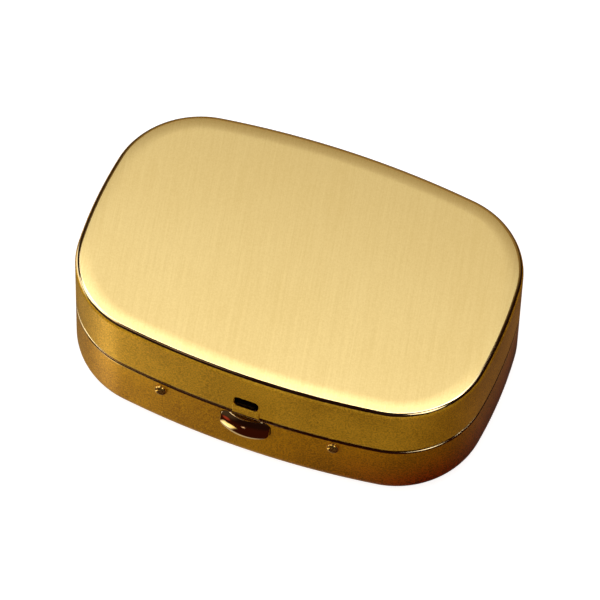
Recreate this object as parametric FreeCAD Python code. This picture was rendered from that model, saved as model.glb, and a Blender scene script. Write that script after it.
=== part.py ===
"""Pocket pill box with a hinged, sprung lid and a push-button catch. Millimetres, +Z up.

The origin is the centre of the flat underside. The long sides lie along X, the catch faces -Y and
the hinge is at +Y. Each function below makes one separate piece of the box, and every piece is
written to its own STEP file.
"""
import FreeCAD
import Part
import math
import os

V = FreeCAD.Vector

# ---- Driving dimensions -------------------------------------------------------------------
LENGTH = 50.0
WIDTH = 33.5
HEIGHT = 17.0
SEAM_Z = 9.2              # height of the parting line between base and lid
SEAM_GAP = 0.3            # open reveal between the two rims
SHEET = 0.6               # drawn brass sheet
SIDE_BOW_RADIUS = 107.0   # the long sides bow outwards on this radius
END_BOW_RADIUS = 58.0     # the short sides bow outwards on this radius
CORNER_RADIUS = 10.7

# Lid profile
LID_EDGE_RADIUS = 0.65
SHOULDER_SLOPE = math.radians(7.0)   # the top leans down to this slope next to its edge
SHOULDER_WIDTH = 2.2
INNER_RADIUS = 0.5
LIP_ROUND = 0.2           # rounding of both rims at the seam

# Base profile
BASE_EDGE_RADIUS = 2.4
FLOOR_START = BASE_EDGE_RADIUS + 0.1   # the flat floor begins this far in from the wall

# Rim collar, soldered inside the base and standing up into the lid
COLLAR_SHEET = 0.4
COLLAR_ABOVE = 0.9        # reach above the seam
COLLAR_BELOW = 0.6        # reach below the seam
COLLAR_RELIEF = 0.07      # the part inside the lid stands this far off the lid's wall
COLLAR_FRONT_GAP = 3.6    # half width of the opening round the catch
COLLAR_REAR_GAP = 9.9     # half width of the opening round the hinge

# Hinge
HINGE_HALF_LENGTH = 9.0
HINGE_Y = WIDTH / 2 + 0.25
KNUCKLE_RADIUS = 1.15
KNUCKLE_BORE = 0.55
PIN_RADIUS = 0.5
PIN_HEAD_RADIUS = 0.8
PIN_HEAD_LENGTH = 0.3
PIN_HEAD_ROUND = 0.24
KNUCKLE_LENGTH = 3.3
KNUCKLE_GAP = 0.1
LEAF_SHEET = 0.5
LEAF_DEPTH = 4.8          # how far each leaf reaches from the seam
HINGE_NOTCH = 1.35        # the walls are cut this far above and below the seam at the hinge
NOTCH_END_GAP = 0.25      # and this far beyond the pin's heads
PIN_END_PLAY = 0.05       # between the pin's heads and the outer knuckles

# Lid spring, a torsion spring wound on the hinge pin
SPRING_WIRE_RADIUS = 0.16
SPRING_COIL_RADIUS = 0.8
SPRING_PITCH = 0.45
SPRING_TURNS = 8.5
SPRING_LEG = 3.4          # how far each leg reaches from the seam
SPRING_LEG_GAP = 0.05     # between the legs and the hinge leaves

# Catch
PRESS_TRAVEL = 0.9        # how far the thumb button moves in
BUTTON_HALF_WIDTH = 3.0
BUTTON_TOP = 0.5          # flat top of the thumb button below the seam
BUTTON_WAIST = 2.0        # below this its sides curve in as half an ellipse
BUTTON_BOTTOM = 4.0
BUTTON_CORNER = 0.8
BUTTON_PROUD = 1.2        # crown height outside the wall
CROWN_DROP = 2.2          # centre of the crown below the seam
CROWN_LONG_RADIUS = 6.5   # the crown's curve from side to side
CROWN_SHORT_RADIUS = 2.3  # the crown's curve from top to bottom
CROWN_EDGE_ROUND = 0.3
CROWN_MARGIN = 0.2        # the crown's curve is drawn this much wider than the button
WINDOW_CLEARANCE = 0.1
PLATE_SHEET = 0.6
PLATE_HALF_WIDTH = 3.4    # wider than the window, which keeps the thumb button in
PLATE_MARGIN = 0.4        # and lower than it by this much
PLATE_TOP = 0.3           # below the seam
PLATE_CORNER = 0.6
ARM_HALF_WIDTH = 1.6
WALL_CLEARANCE = 0.1      # between the catch plate and the walls
NOSE_HALF_WIDTH = 1.1
NOSE_BOTTOM = 1.62        # above the seam
NOSE_TOP = 2.6
NOSE_TIP = 0.35           # height of the nose's blunt tip
NOSE_SUNK = 0.15          # the tip stays this far behind the lid's outer face
STEM_RADIUS = 0.55
STEM_DROP = 1.9           # stem's centre below the seam
TAIL_RADIUS = 0.9
TAIL_LENGTH = 0.3         # of every riveted-over end behind the spring strip
TAIL_ROUND = 0.24
SLOT_HALF_WIDTH = 1.45
SLOT_BOTTOM = 1.5         # above the seam
SLOT_TOP = 3.2
SLOT_CORNER = 0.6
KEEPER_HALF_WIDTH = 1.65
KEEPER_PROUD = 0.14       # the strip of lid wall under the slot bulges out by this much
KEEPER_END_ROUND = 0.12
KEEPER_RIM_ROUND = 0.1
SPRING_STRIP_HALF = 12.0
SPRING_STRIP_SHEET = 0.25
SPRING_STRIP_TOP = 0.7    # below the seam
SPRING_STRIP_BOTTOM = 2.9
SPRING_STRIP_CORNER = 0.8
RIVET_X = 10.5
RIVET_DROP = 1.3
RIVET_SHANK = 0.4
RIVET_HEAD = 0.75
RIVET_PROUD = 0.6
RIVET_ROUND = 0.45
RIVET_TAIL = 0.6
HOLE_CLEARANCE = 0.03

# Pill tray
TRAY_WALL = 0.9
TRAY_CLEARANCE = 0.15
TRAY_TOP = 0.6            # above the seam
TRAY_LIFT = 0.05          # rests just above the base's floor
TRAY_FOOT = 0.6           # height of the narrower foot, which clears the base's rounded edge
TRAY_POCKET_RADIUS = 1.6
TRAY_FLOOR_RADIUS = 1.3
CATCH_ROOM = 0.3          # between the pressed catch and the tray
HINGE_RECESS_HALF = 10.2
HINGE_RECESS_Y = 15.1
DIVIDER_X = 3.5           # cross wall between the long pocket and the two short ones

# Mirror in the lid
MIRROR_GLASS = 1.1
MIRROR_MARGIN = 1.2       # between the glass and the lid's inner wall
MIRROR_BEVEL = 0.35
PAD_THICKNESS = 0.25
PAD_MARGIN = 3.0

# ---- Worked out from the above ------------------------------------------------------------
HALF_LENGTH = LENGTH / 2
HALF_WIDTH = WIDTH / 2
FRONT_OUTER = -HALF_WIDTH
FRONT_INNER = FRONT_OUTER + SHEET
BASE_RIM_Z = SEAM_Z - SEAM_GAP / 2
LID_RIM_Z = SEAM_Z + SEAM_GAP / 2
PLATE_FRONT = FRONT_INNER + WALL_CLEARANCE
PLATE_BACK = PLATE_FRONT + PLATE_SHEET
STRIP_BACK = PLATE_BACK + SPRING_STRIP_SHEET
CATCH_RECESS_Y = STRIP_BACK + TAIL_LENGTH + PRESS_TRAVEL + CATCH_ROOM   # front of the tray
REACH = 60.0              # longer than the box, for cutting tools
EIGHTH = math.pi / 4      # half of a quarter circle


# ---- Shape helpers ------------------------------------------------------------------------
def box(x0, x1, y0, y1, z0, z1):
    return Part.makeBox(x1 - x0, y1 - y0, z1 - z0, V(x0, y0, z0))


def fuse(first, *others):
    return first.fuse(list(others)).removeSplitter()


def only_solid(shape):
    """The one solid of a boolean's result."""
    solids = shape.Solids
    if len(solids) != 1:
        raise ValueError("expected one solid, found %d" % len(solids))
    return solids[0]


def corner_centre():
    """Centre of the corner arc at +X +Y, tangent inside both bowed sides."""
    side = V(0, HALF_WIDTH - SIDE_BOW_RADIUS, 0)
    end = V(HALF_LENGTH - END_BOW_RADIUS, 0, 0)
    to_side = SIDE_BOW_RADIUS - CORNER_RADIUS
    to_end = END_BOW_RADIUS - CORNER_RADIUS
    span = (end - side).Length
    along = (to_side ** 2 - to_end ** 2 + span ** 2) / (2 * span)
    across = math.sqrt(to_side ** 2 - along ** 2)
    forward = (end - side) / span
    sideways = V(forward.y, -forward.x, 0)
    return side + forward * along + sideways * across


def outline_arcs():
    """The outline as eight tangent arcs, anticlockwise: (centre, radius, start angle, end angle)."""
    corner = corner_centre()
    end = V(HALF_LENGTH - END_BOW_RADIUS, 0, 0)
    side = V(0, HALF_WIDTH - SIDE_BOW_RADIUS, 0)
    low = math.atan2(corner.y - end.y, corner.x - end.x)
    high = math.atan2(corner.y - side.y, corner.x - side.x)
    arcs = []
    for quarter in range(4):
        flip_x = -1 if quarter in (1, 2) else 1
        flip_y = -1 if quarter in (2, 3) else 1
        centre = V(corner.x * flip_x, corner.y * flip_y, 0)
        turned = quarter % 2 == 1
        start = math.pi / 2 * quarter + (math.pi / 2 - high if turned else low)
        stop = math.pi / 2 * quarter + (math.pi / 2 - low if turned else high)
        arcs.append((centre, CORNER_RADIUS, start, stop))
        if turned:
            bow = (V(end.x * flip_x, 0, 0), END_BOW_RADIUS, low)
        else:
            bow = (V(0, side.y * flip_y, 0), SIDE_BOW_RADIUS, math.pi / 2 - high)
        middle = math.pi / 2 * (quarter + 1)
        arcs.append((bow[0], bow[1], middle - bow[2], middle + bow[2]))
    return arcs


def outline_point(arc, angle, inset, z):
    centre, radius = arc[0], arc[1]
    reach = radius - inset
    return V(centre.x + reach * math.cos(angle), centre.y + reach * math.sin(angle), z)


def outline_prism(inset, z0, z1):
    """A solid with the box's outline drawn in by inset, from z0 to z1."""
    edges = []
    for arc in outline_arcs():
        middle = (arc[2] + arc[3]) / 2
        points = [outline_point(arc, a, inset, z0) for a in (arc[2], middle, arc[3])]
        edges.append(Part.Arc(*points).toShape())
    face = Part.Face(Part.Wire(edges))
    return face.extrude(V(0, 0, z1 - z0))


def swept_ring(path):
    """Sweeps a closed profile round the outline.

    path is a list of (inset, z) corners. A corner given as ((inset, z), (inset, z)) is a
    circular arc, through the first point to the second.
    """
    parts = []
    for arc in outline_arcs():
        def place(point):
            return outline_point(arc, arc[2], point[0], point[1])
        edges = []
        here = path[0]
        for step in path[1:] + [path[0]]:
            if isinstance(step[0], tuple):
                edges.append(Part.Arc(place(here), place(step[0]), place(step[1])).toShape())
                here = step[1]
            else:
                edges.append(Part.LineSegment(place(here), place(step)).toShape())
                here = step
        face = Part.Face(Part.Wire(edges))
        parts.append(face.revolve(arc[0], V(0, 0, 1), math.degrees(arc[3] - arc[2])))
    return fuse(*parts)


def quarter_point(centre, radius, normal):
    """The point of an arc whose outward normal makes this angle with the inward direction."""
    return (centre[0] + radius * math.cos(normal), centre[1] + radius * math.sin(normal))


def band(inset, thickness, z0, z1):
    """A plain vertical strip that follows the outline, between two heights."""
    return swept_ring([(inset, z0), (inset, z1), (inset + thickness, z1), (inset + thickness, z0)])


def cylinder_y(radius, x, z, y0, y1):
    return Part.makeCylinder(radius, y1 - y0, V(x, y0, z), V(0, 1, 0))


def cylinder_x(radius, x0, x1):
    """A cylinder on the hinge axis."""
    return Part.makeCylinder(radius, x1 - x0, V(x0, HINGE_Y, SEAM_Z), V(1, 0, 0))


def edges_along(shape, direction):
    """The straight edges of a shape that run along a direction."""
    found = []
    for edge in shape.Edges:
        if edge.Curve.TypeId != "Part::GeomLine":
            continue
        if abs(edge.tangentAt(edge.FirstParameter).dot(direction)) > 0.999:
            found.append(edge)
    return found


def edges_at(shape, axis, value):
    """The edges of a shape that lie wholly at one coordinate of an axis (x, y or z)."""
    found = []
    for edge in shape.Edges:
        low = getattr(edge.BoundBox, axis.upper() + "Min")
        high = getattr(edge.BoundBox, axis.upper() + "Max")
        if abs(low - value) < 1e-3 and abs(high - value) < 1e-3:
            found.append(edge)
    return found


# ---- Lid ----------------------------------------------------------------------------------
def lid_profile():
    """The lid's wall, edge and shoulder, up to where the flat top begins."""
    run = SHOULDER_WIDTH - LID_EDGE_RADIUS
    shoulder_radius = LID_EDGE_RADIUS + run / math.sin(SHOULDER_SLOPE)
    fall = (shoulder_radius - LID_EDGE_RADIUS) * (1 - math.cos(SHOULDER_SLOPE))
    edge_centre = (LID_EDGE_RADIUS, HEIGHT - LID_EDGE_RADIUS - fall)
    shoulder_centre = (SHOULDER_WIDTH, HEIGHT - shoulder_radius)
    quarter = math.pi / 2
    meet = quarter + SHOULDER_SLOPE
    edge_middle = quarter_point(edge_centre, LID_EDGE_RADIUS, (math.pi + meet) / 2)
    edge_end = quarter_point(edge_centre, LID_EDGE_RADIUS, meet)
    shoulder_middle = quarter_point(shoulder_centre, shoulder_radius, (quarter + meet) / 2)
    lip_centre = (LIP_ROUND, LID_RIM_Z + LIP_ROUND)
    lip_middle = quarter_point(lip_centre, LIP_ROUND, 5 * EIGHTH)
    ceiling = HEIGHT - SHEET
    inner_centre = (SHEET + INNER_RADIUS, ceiling - INNER_RADIUS)
    inner_middle = quarter_point(inner_centre, INNER_RADIUS, 3 * EIGHTH)
    return [
        (LIP_ROUND, LID_RIM_Z),
        (lip_middle, (0, LID_RIM_Z + LIP_ROUND)),
        (0, edge_centre[1]),
        (edge_middle, edge_end),
        (shoulder_middle, (SHOULDER_WIDTH, HEIGHT)),
        (SHOULDER_WIDTH, ceiling),
        (SHEET + INNER_RADIUS, ceiling),
        (inner_middle, (SHEET, ceiling - INNER_RADIUS)),
        (SHEET, LID_RIM_Z),
    ]


def keeper():
    """The rounded strip under the catch slot that the catch's nose hooks over."""
    bar = box(-KEEPER_HALF_WIDTH, KEEPER_HALF_WIDTH, FRONT_OUTER - KEEPER_PROUD,
              FRONT_INNER, LID_RIM_Z, SEAM_Z + SLOT_BOTTOM)
    ends = [e for e in edges_along(bar, V(0, 0, 1)) if e.BoundBox.YMax < FRONT_OUTER]
    bar = bar.makeFillet(KEEPER_END_ROUND, ends)
    front = edges_at(bar, "y", FRONT_OUTER - KEEPER_PROUD)
    rims = [e for e in front if e.BoundBox.ZLength < 1e-3]
    return bar.makeFillet(KEEPER_RIM_ROUND, rims)


def lid_shell():
    shell = fuse(swept_ring(lid_profile()),
                 outline_prism(SHOULDER_WIDTH, HEIGHT - SHEET, HEIGHT), keeper())
    slot = box(-SLOT_HALF_WIDTH, SLOT_HALF_WIDTH, -REACH, FRONT_INNER + SHEET,
               SEAM_Z + SLOT_BOTTOM, SEAM_Z + SLOT_TOP)
    slot = slot.makeFillet(SLOT_CORNER, edges_along(slot, V(0, 1, 0)))
    return only_solid(shell.cut(slot).cut(hinge_notch()))


def hinge_notch():
    """The opening that both rear walls leave for the hinge's barrel."""
    half = HINGE_HALF_LENGTH + PIN_END_PLAY + PIN_HEAD_LENGTH + NOTCH_END_GAP
    return box(-half, half, HINGE_RECESS_Y, REACH, SEAM_Z - HINGE_NOTCH, SEAM_Z + HINGE_NOTCH)


def lid_mirror():
    ceiling = HEIGHT - SHEET - PAD_THICKNESS
    glass = outline_prism(SHEET + MIRROR_MARGIN, ceiling - MIRROR_GLASS, ceiling)
    return only_solid(glass.makeChamfer(MIRROR_BEVEL, edges_at(glass, "z", ceiling - MIRROR_GLASS)))


def mirror_pad():
    ceiling = HEIGHT - SHEET
    return outline_prism(SHEET + PAD_MARGIN, ceiling - PAD_THICKNESS, ceiling)


# ---- Base ---------------------------------------------------------------------------------
def base_profile():
    """The base's wall and rounded bottom edge, in to where the flat floor begins."""
    centre = (BASE_EDGE_RADIUS, BASE_EDGE_RADIUS)
    outer_middle = quarter_point(centre, BASE_EDGE_RADIUS, 5 * EIGHTH)
    inner_middle = quarter_point(centre, BASE_EDGE_RADIUS - SHEET, 5 * EIGHTH)
    lip_centre = (LIP_ROUND, BASE_RIM_Z - LIP_ROUND)
    lip_middle = quarter_point(lip_centre, LIP_ROUND, 3 * EIGHTH)
    return [
        (FLOOR_START, 0),
        (BASE_EDGE_RADIUS, 0),
        (outer_middle, (0, BASE_EDGE_RADIUS)),
        (0, BASE_RIM_Z - LIP_ROUND),
        (lip_middle, (LIP_ROUND, BASE_RIM_Z)),
        (SHEET, BASE_RIM_Z),
        (SHEET, BASE_EDGE_RADIUS),
        (inner_middle, (BASE_EDGE_RADIUS, SHEET)),
        (FLOOR_START, SHEET),
    ]


def thumb_prism(grow, y0, y1):
    """The thumb button's outline, flat on top and round below, drawn out by grow and extruded."""
    half = BUTTON_HALF_WIDTH + grow
    waist = SEAM_Z - BUTTON_WAIST
    top = SEAM_Z - BUTTON_TOP + grow
    middle = V(0, y0, waist)
    depth = V(0, 0, BUTTON_WAIST - BUTTON_BOTTOM - grow)
    oval = Part.Ellipse(middle + V(half, 0, 0), middle + depth, middle)
    lower = Part.ArcOfEllipse(oval, 0, math.pi).toShape()
    upper = Part.makePolygon([V(-half, y0, waist), V(-half, y0, top), V(half, y0, top),
                              V(half, y0, waist)])
    solid = Part.Face(Part.Wire([lower] + upper.Edges)).extrude(V(0, y1 - y0, 0))
    shoulders = [e for e in edges_along(solid, V(0, 1, 0)) if e.BoundBox.ZMin > waist + grow]
    return solid.makeFillet(BUTTON_CORNER + grow, shoulders)


def base_shell():
    shell = fuse(swept_ring(base_profile()), outline_prism(FLOOR_START, 0, SHEET))
    shell = shell.cut(thumb_prism(WINDOW_CLEARANCE, FRONT_OUTER - SHEET, FRONT_INNER + SHEET))
    for x in (-RIVET_X, RIVET_X):
        shell = shell.cut(rivet_hole(x))
    return only_solid(shell.cut(hinge_notch()))


def rivet_hole(x):
    return cylinder_y(RIVET_SHANK + HOLE_CLEARANCE, x, SEAM_Z - RIVET_DROP, -REACH, 0)


def stem_hole():
    return cylinder_y(STEM_RADIUS + HOLE_CLEARANCE, 0, SEAM_Z - STEM_DROP, -REACH, 0)


def rim_collar(side):
    """Half of the rim band: side is -1 for the left half and 1 for the right half."""
    top = SEAM_Z + COLLAR_ABOVE
    inner = SHEET + COLLAR_SHEET
    ring = swept_ring([
        (SHEET, SEAM_Z - COLLAR_BELOW),
        (SHEET, BASE_RIM_Z),
        (SHEET + COLLAR_RELIEF, LID_RIM_Z - COLLAR_RELIEF),
        (SHEET + COLLAR_RELIEF, top - COLLAR_SHEET / 2),
        (SHEET + COLLAR_SHEET / 2, top),
        (inner, top),
        (inner, SEAM_Z - COLLAR_BELOW),
    ])
    ring = ring.cut(box(-COLLAR_FRONT_GAP, COLLAR_FRONT_GAP, -REACH, 0, 0, HEIGHT))
    ring = ring.cut(box(-COLLAR_REAR_GAP, COLLAR_REAR_GAP, 0, REACH, 0, HEIGHT))
    start = 0 if side > 0 else -REACH
    return only_solid(ring.common(box(start, start + REACH, -REACH, REACH, 0, HEIGHT)))


def pocket(x0, x1, y0, y1, z0, z1):
    """The cutting tool for one pill pocket, with rounded corners and a rounded floor."""
    inside = outline_prism(SHEET + COLLAR_SHEET + TRAY_CLEARANCE + TRAY_WALL, z0, z1)
    room = only_solid(inside.common(box(x0, x1, y0, y1, z0, z1)))
    upright = [e for e in edges_along(room, V(0, 0, 1)) if is_sharp(room, e)]
    room = room.makeFillet(TRAY_POCKET_RADIUS, upright)
    return room.makeFillet(TRAY_FLOOR_RADIUS, edges_at(room, "z", z0))


def is_sharp(shape, edge):
    """Whether the two faces at an edge meet at a corner, and not smoothly."""
    faces = shape.ancestorsOfType(edge, Part.Face)
    normals = []
    for face in faces:
        u, v = face.Surface.parameter(edge.valueAt(edge.FirstParameter))
        normals.append(face.normalAt(u, v))
    return abs(normals[0].dot(normals[1])) < 0.99


def pill_tray():
    z0 = SHEET + TRAY_LIFT
    z1 = SEAM_Z + TRAY_TOP
    inset = SHEET + COLLAR_SHEET + TRAY_CLEARANCE
    skirt = outline_prism(inset, z0 + TRAY_FOOT, z1)
    foot = outline_prism(FLOOR_START, z0, z0 + TRAY_FOOT)
    tray = fuse(skirt, foot)
    tray = tray.cut(box(-REACH, REACH, -REACH, CATCH_RECESS_Y, 0, HEIGHT))
    tray = tray.cut(box(-HINGE_RECESS_HALF, HINGE_RECESS_HALF, HINGE_RECESS_Y, REACH, 0, HEIGHT))
    front = CATCH_RECESS_Y + TRAY_WALL
    back = HINGE_RECESS_Y - TRAY_WALL
    floor = z0 + TRAY_WALL
    half_wall = TRAY_WALL / 2
    pockets = [
        (-REACH, DIVIDER_X - half_wall, front, back),
        (DIVIDER_X + half_wall, REACH, half_wall, back),
        (DIVIDER_X + half_wall, REACH, front, -half_wall),
    ]
    for x0, x1, y0, y1 in pockets:
        tray = tray.cut(pocket(x0, x1, y0, y1, floor, z1))
    return only_solid(tray)


# ---- Hinge --------------------------------------------------------------------------------
def knuckle_spans():
    """Where the knuckles lie along X: the base's outer pair and the lid's inner pair."""
    outer = HINGE_HALF_LENGTH
    inner = outer - KNUCKLE_LENGTH - KNUCKLE_GAP
    base = [(-outer, -outer + KNUCKLE_LENGTH), (outer - KNUCKLE_LENGTH, outer)]
    lid = [(-inner, -inner + KNUCKLE_LENGTH), (inner - KNUCKLE_LENGTH, inner)]
    return base, lid


def hinge_leaf(spans, up):
    """A leaf soldered inside the rear wall and rolled into knuckles: up is 1 for the lid's."""
    half = HINGE_HALF_LENGTH
    clear_of_barrel = KNUCKLE_RADIUS + KNUCKLE_GAP
    inside_y = HALF_WIDTH - SHEET - LEAF_SHEET

    def level(*heights):
        """Distances from the seam, on this leaf's side of it, as rising Z values."""
        return sorted(SEAM_Z + up * height for height in heights)

    def strip(x0, x1, levels):
        return box(x0, x1, 0, REACH, levels[0], levels[1])

    curved = band(SHEET, LEAF_SHEET, SEAM_Z - LEAF_DEPTH, SEAM_Z + LEAF_DEPTH)
    web = level(KNUCKLE_RADIUS - LEAF_SHEET, KNUCKLE_RADIUS)
    tab = level(KNUCKLE_RADIUS - LEAF_SHEET, clear_of_barrel + LEAF_SHEET)
    parts = [curved.common(strip(-half, half, level(clear_of_barrel, LEAF_DEPTH)))]
    for x0, x1 in spans:
        parts.append(curved.common(strip(x0, x1, tab)))
        parts.append(box(x0, x1, inside_y, HINGE_Y, web[0], web[1]))
        parts.append(cylinder_x(KNUCKLE_RADIUS, x0, x1))
    leaf = fuse(*parts)
    for x0, x1 in spans:
        leaf = leaf.cut(cylinder_x(KNUCKLE_BORE, x0 - KNUCKLE_GAP / 2, x1 + KNUCKLE_GAP / 2))
    return only_solid(leaf)


def hinge_pin():
    """The pin, with a domed head peened over at each end."""
    half = HINGE_HALF_LENGTH + PIN_END_PLAY
    pin = fuse(cylinder_x(PIN_RADIUS, -half, half),
               cylinder_x(PIN_HEAD_RADIUS, -half - PIN_HEAD_LENGTH, -half),
               cylinder_x(PIN_HEAD_RADIUS, half, half + PIN_HEAD_LENGTH))
    ends = edges_at(pin, "x", half + PIN_HEAD_LENGTH) + edges_at(pin, "x", -half - PIN_HEAD_LENGTH)
    return only_solid(pin.makeFillet(PIN_HEAD_ROUND, ends))


def lid_spring():
    """Torsion spring on the pin: one leg lies on the base's leaf and the other on the lid's."""
    length = SPRING_PITCH * SPRING_TURNS
    helix = Part.makeHelix(SPRING_PITCH, length, SPRING_COIL_RADIUS)
    ring = Part.Circle(V(SPRING_COIL_RADIUS, 0, 0), V(0, 1, 0), SPRING_WIRE_RADIUS)
    coil = Part.Wire(helix).makePipeShell([Part.Wire(ring.toShape())], True, True)
    # the helix is wound about Z and starts at +X: this puts it on the pin, starting underneath
    coil.Placement = FreeCAD.Placement(V(-length / 2, HINGE_Y, SEAM_Z),
                                       FreeCAD.Rotation(V(0, 1, 0), 90))
    leg_y = HALF_WIDTH - SHEET - LEAF_SHEET - SPRING_LEG_GAP - SPRING_WIRE_RADIUS
    parts = []
    for x, side in ((-length / 2, -1), (length / 2, 1)):
        z = SEAM_Z + side * SPRING_COIL_RADIUS
        parts.append(cylinder_y(SPRING_WIRE_RADIUS, x, z, leg_y, HINGE_Y))
        parts.append(Part.makeSphere(SPRING_WIRE_RADIUS, V(x, leg_y, z)))
        parts.append(Part.makeCylinder(SPRING_WIRE_RADIUS, SPRING_LEG - SPRING_COIL_RADIUS,
                                       V(x, leg_y, z), V(0, 0, side)))
    return only_solid(coil.fuse(parts))


# ---- Catch --------------------------------------------------------------------------------
def crown_barrel():
    """A barrel lying along X. Its front is the thumb button's crown, curved both ways."""
    axis_y = FRONT_OUTER - BUTTON_PROUD + CROWN_SHORT_RADIUS
    z = SEAM_Z - CROWN_DROP
    half = BUTTON_HALF_WIDTH + CROWN_MARGIN
    fall = CROWN_LONG_RADIUS - math.sqrt(CROWN_LONG_RADIUS ** 2 - half ** 2)
    # drawn on the rear side of the axis, which keeps the surface's seam off the crown
    left = V(-half, axis_y + CROWN_SHORT_RADIUS - fall, z)
    right = V(half, left.y, z)
    bulge = Part.Arc(left, V(0, axis_y + CROWN_SHORT_RADIUS, z), right).toShape()
    rest = Part.makePolygon([right, V(half, axis_y, z), V(-half, axis_y, z), left])
    section = Part.Face(Part.Wire([bulge] + rest.Edges))
    return section.revolve(V(0, axis_y, z), V(1, 0, 0), 360)


def riveted_tail(radius, x, z):
    """A round end, hammered over behind the spring strip."""
    end = STRIP_BACK + TAIL_LENGTH
    tail = cylinder_y(radius, x, z, STRIP_BACK, end)
    return tail.makeFillet(TAIL_ROUND, edges_at(tail, "y", end))


def catch_button():
    """The domed thumb button, with a stem that is riveted over behind the spring strip."""
    block = thumb_prism(0, FRONT_OUTER - 2 * BUTTON_PROUD, PLATE_FRONT)
    head = only_solid(block.common(crown_barrel()))
    rim = [e for e in head.Edges if e.BoundBox.YMax < PLATE_FRONT - SHEET / 2]
    head = head.makeFillet(CROWN_EDGE_ROUND, rim)
    z = SEAM_Z - STEM_DROP
    stem = cylinder_y(STEM_RADIUS, 0, z, FRONT_OUTER, STRIP_BACK)
    return only_solid(fuse(head, stem, riveted_tail(TAIL_RADIUS, 0, z)))


def catch_plate():
    """Stamped plate behind the wall: an arm reaches up into the lid and ends in the nose."""
    plate = box(-PLATE_HALF_WIDTH, PLATE_HALF_WIDTH, PLATE_FRONT, PLATE_BACK,
                SEAM_Z - BUTTON_BOTTOM - PLATE_MARGIN, SEAM_Z - PLATE_TOP)
    plate = plate.makeFillet(PLATE_CORNER, edges_along(plate, V(0, 1, 0)))
    arm = box(-ARM_HALF_WIDTH, ARM_HALF_WIDTH, PLATE_FRONT, PLATE_BACK,
              SEAM_Z - PLATE_TOP - PLATE_CORNER, SEAM_Z + NOSE_TOP)
    tip = FRONT_OUTER + NOSE_SUNK
    corners = [(PLATE_FRONT, NOSE_BOTTOM), (tip, NOSE_BOTTOM), (tip, NOSE_BOTTOM + NOSE_TIP),
               (PLATE_FRONT, NOSE_TOP)]
    points = [V(-NOSE_HALF_WIDTH, y, SEAM_Z + z) for y, z in corners]
    nose = Part.Face(Part.makePolygon(points + points[:1])).extrude(V(2 * NOSE_HALF_WIDTH, 0, 0))
    return only_solid(fuse(plate, arm, nose).cut(stem_hole()))


def catch_spring():
    """Flat strip of spring steel, riveted to the wall at both ends and carrying the catch."""
    strip = box(-SPRING_STRIP_HALF, SPRING_STRIP_HALF, PLATE_BACK, STRIP_BACK,
                SEAM_Z - SPRING_STRIP_BOTTOM, SEAM_Z - SPRING_STRIP_TOP)
    strip = strip.makeFillet(SPRING_STRIP_CORNER, edges_along(strip, V(0, 1, 0)))
    strip = strip.cut(stem_hole())
    for x in (-RIVET_X, RIVET_X):
        strip = strip.cut(rivet_hole(x))
    return only_solid(strip)


def wall_y(x):
    """The front wall's outer face at x."""
    return -(HALF_WIDTH - SIDE_BOW_RADIUS + math.sqrt(SIDE_BOW_RADIUS ** 2 - x ** 2))


def catch_rivets():
    """The two rivets that hold the spring strip. Their round heads show outside the wall."""
    box_side = outline_prism(0, 0, HEIGHT)
    rivets = []
    for x in (-RIVET_X, RIVET_X):
        z = SEAM_Z - RIVET_DROP
        face = wall_y(x)
        head = cylinder_y(RIVET_HEAD, x, z, face - RIVET_PROUD, face + SHEET / 2)
        head = head.makeFillet(RIVET_ROUND, edges_at(head, "y", face - RIVET_PROUD))
        head = head.cut(box_side)
        shank = cylinder_y(RIVET_SHANK, x, z, face - RIVET_PROUD / 2, STRIP_BACK)
        rivets.append(only_solid(fuse(head, shank, riveted_tail(RIVET_TAIL, x, z))))
    return Part.makeCompound(rivets)


# ---- All pieces ---------------------------------------------------------------------------
def main():
    os.makedirs("parts", exist_ok=True)
    base_spans, lid_spans = knuckle_spans()
    pieces = {
        "base_shell": base_shell(),
        "left_rim_collar": rim_collar(-1),
        "right_rim_collar": rim_collar(1),
        "pill_tray": pill_tray(),
        "base_hinge_leaf": hinge_leaf(base_spans, -1),
        "hinge_pin": hinge_pin(),
        "lid_spring": lid_spring(),
        "lid_shell": lid_shell(),
        "lid_hinge_leaf": hinge_leaf(lid_spans, 1),
        "lid_mirror": lid_mirror(),
        "mirror_pad": mirror_pad(),
        "catch_button": catch_button(),
        "catch_plate": catch_plate(),
        "catch_spring": catch_spring(),
        "catch_rivets": catch_rivets(),
    }
    for name, shape in pieces.items():
        shape.exportStep("parts/%s.step" % name)


main()
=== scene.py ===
import math

import bmesh
import bpy
import numpy as np
from mathutils import Matrix, Vector


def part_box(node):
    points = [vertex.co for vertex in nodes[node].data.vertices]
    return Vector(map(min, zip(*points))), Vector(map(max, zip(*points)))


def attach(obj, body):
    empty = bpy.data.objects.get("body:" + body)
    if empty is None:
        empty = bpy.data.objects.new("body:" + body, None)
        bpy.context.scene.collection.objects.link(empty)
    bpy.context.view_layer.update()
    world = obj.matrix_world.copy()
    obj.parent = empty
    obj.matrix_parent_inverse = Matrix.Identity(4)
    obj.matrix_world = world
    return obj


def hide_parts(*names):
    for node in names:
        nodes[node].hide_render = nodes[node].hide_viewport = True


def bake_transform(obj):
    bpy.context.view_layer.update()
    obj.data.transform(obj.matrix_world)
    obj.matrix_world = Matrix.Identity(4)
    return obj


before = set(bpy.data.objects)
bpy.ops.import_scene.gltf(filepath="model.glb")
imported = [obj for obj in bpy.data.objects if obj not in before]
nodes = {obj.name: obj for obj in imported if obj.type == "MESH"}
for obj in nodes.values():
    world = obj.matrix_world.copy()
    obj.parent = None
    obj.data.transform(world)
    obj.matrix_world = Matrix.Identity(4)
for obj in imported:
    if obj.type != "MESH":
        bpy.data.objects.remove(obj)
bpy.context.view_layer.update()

MM = 0.001
scene = bpy.context.scene

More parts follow.
